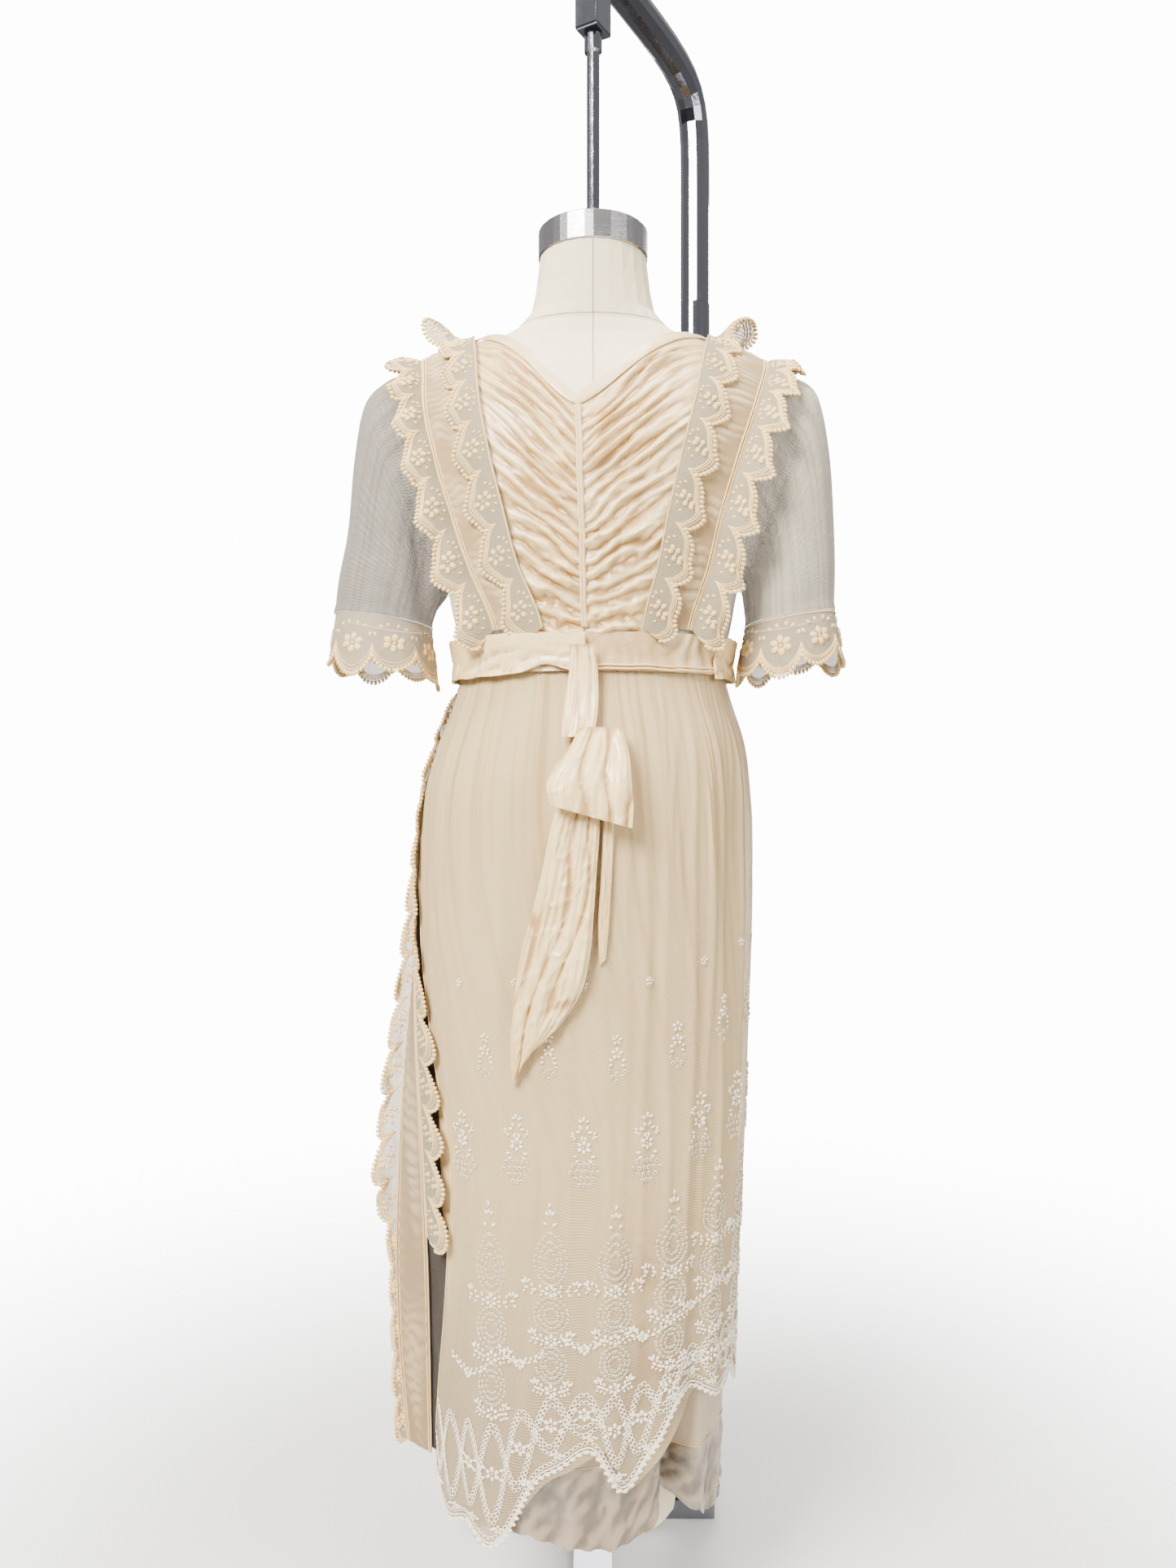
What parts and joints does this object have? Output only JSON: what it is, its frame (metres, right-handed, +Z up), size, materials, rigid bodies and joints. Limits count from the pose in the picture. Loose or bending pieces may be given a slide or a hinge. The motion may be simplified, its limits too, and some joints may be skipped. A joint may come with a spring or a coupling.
{
  "type": "wedding dress on dress form and stand",
  "caption": "Short-sleeved satin, net and lace wedding dress with a V back and a hanging sash, on an armless dress form that hangs from a gooseneck stand.",
  "frame": {"origin": "on the floor, in the underside of the stand's foot, under the form's vertical axis", "axes": "+Z up; -Y is where the back of the dress faces, as in the picture; +X is the wearer's right"},
  "size_m": [0.5992, 0.544, 2.003],
  "materials": {
    "satin": "ivory silk satin, soft sheen",
    "cotton": "white cotton, matte",
    "net": "ruched silk net, matte",
    "embroidered_net": "fine net with tambour embroidery, matte",
    "sleeve_net": "plain fine net, sheer",
    "crepe": "silk crepe, soft",
    "hem_satin": "crepe satin, soft sheen",
    "lace": "tambour lace on net, matte",
    "canvas": "off-white canvas, matte",
    "chrome": "polished"
  },
  "bodies": {
    "root": {"back_placket": "satin", "band_lace_inner_left": "lace", "band_lace_inner_right": "lace", "band_lace_outer_left": "lace", "band_lace_outer_right": "lace", "bodice_back_left": "satin", "bodice_back_right": "satin", "bodice_front": "satin", "bodice_side_left": "cotton", "bodice_side_right": "cotton", "cuff_lace_left": "lace", "cuff_lace_right": "lace", "form_body": "canvas", "form_neck_cap": "chrome", "form_rod": "chrome", "neck_binding": "satin", "overskirt": "embroidered_net", "panel_lace_inner": "lace", "panel_lace_outer": "lace", "sash_drop": "satin", "sash_loop": "satin", "sash_tail_long": "satin", "sash_tail_short": "satin", "sash_wrap": "satin", "shoulder_band_left": "net", "shoulder_band_right": "net", "skirt_panel": "net", "sleeve_left": "sleeve_net", "sleeve_right": "sleeve_net", "stand_arm": "chrome", "stand_base": "chrome", "stand_clamp": "chrome", "stand_pole": "chrome", "underskirt": "crepe", "underskirt_hem_band": "hem_satin", "waistband": "satin"}
  },
  "joints": []
}
